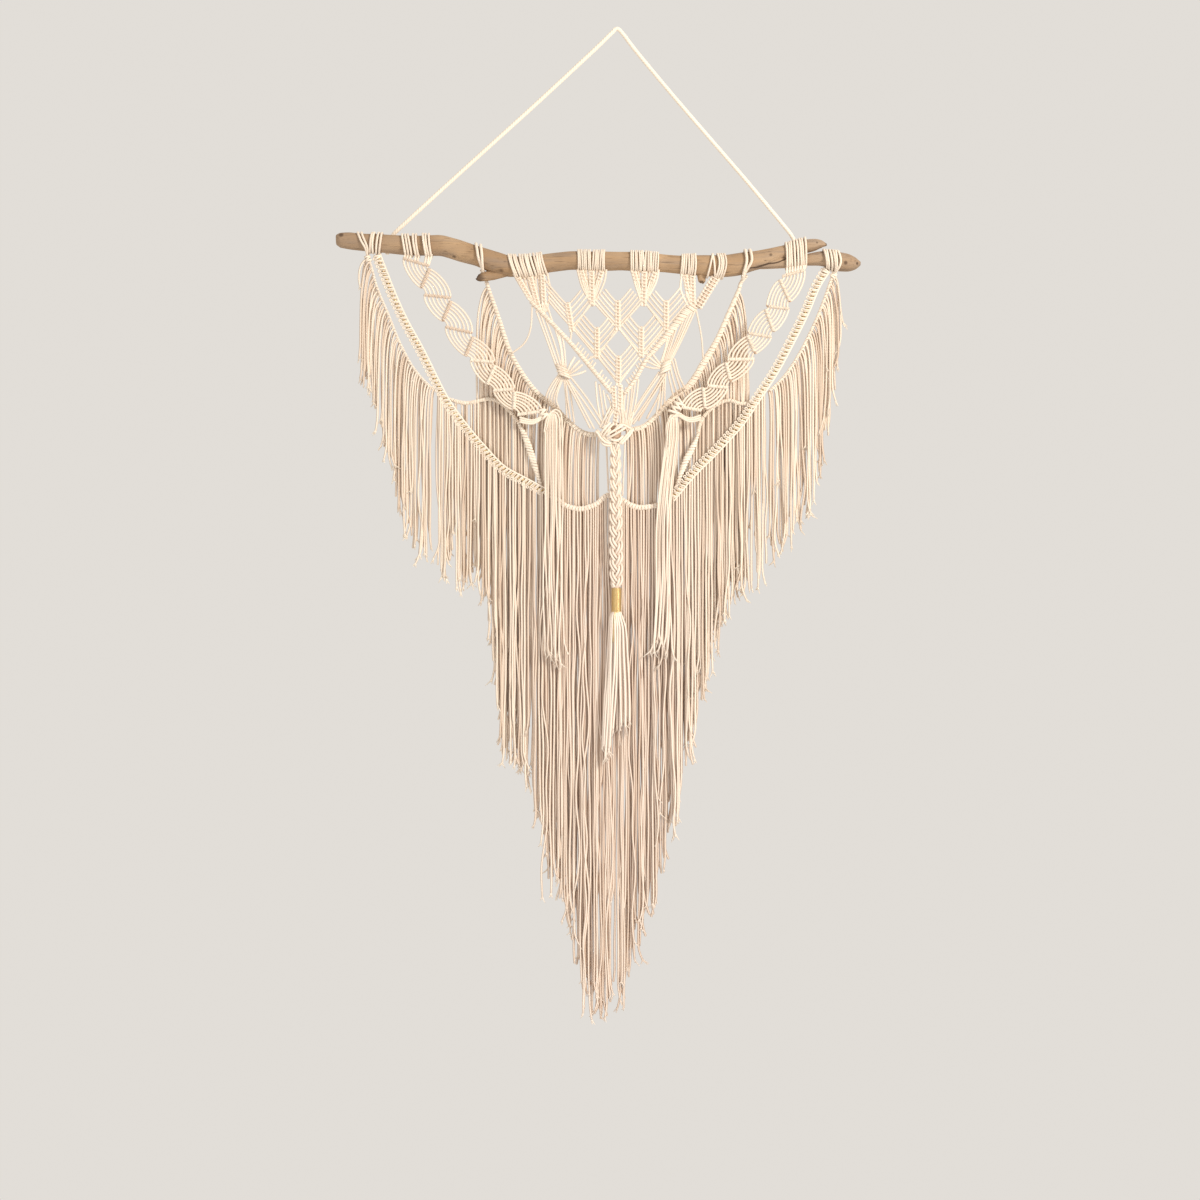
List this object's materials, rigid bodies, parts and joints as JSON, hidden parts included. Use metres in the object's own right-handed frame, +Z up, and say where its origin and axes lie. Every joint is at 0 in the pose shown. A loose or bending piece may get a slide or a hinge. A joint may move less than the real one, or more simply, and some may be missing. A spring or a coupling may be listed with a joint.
{
  "type": "macrame wall hanging on a driftwood stick",
  "caption": "Knotted cotton wall hanging with swags, zigzag bands, a diamond panel, plait, tassels and long fringe, on a forked driftwood stick with a hanging cord.",
  "frame": {"origin": "the point where the hanging cord rests on the wall hook", "axes": "+Z up, +X to the viewer's right, +Y towards the wall, so that the front faces -Y"},
  "size_m": [0.76, 0.0404, 1.4443],
  "materials": {
    "cotton_rope": "soft twisted natural cotton rope",
    "hanging_rope": "smooth cotton cord",
    "driftwood": "bare weathered wood, matt",
    "gold_thread": "shiny metallic thread"
  },
  "bodies": {
    "root": {"driftwood_stick": "driftwood", "hanging_cord": "hanging_rope", "outer_fringe_left": "cotton_rope", "outer_fringe_right": "cotton_rope", "garland_left": "cotton_rope", "garland_right": "cotton_rope", "bottom_swag": "cotton_rope", "inner_swag_left": "cotton_rope", "inner_swag_right": "cotton_rope", "middle_swag_left": "cotton_rope", "middle_swag_right": "cotton_rope", "zigzag_band_left": "cotton_rope", "zigzag_band_right": "cotton_rope", "diamond_panel": "cotton_rope", "centre_braid": "cotton_rope", "centre_tassel": "cotton_rope", "gold_wrap": "gold_thread"}
  },
  "joints": []
}
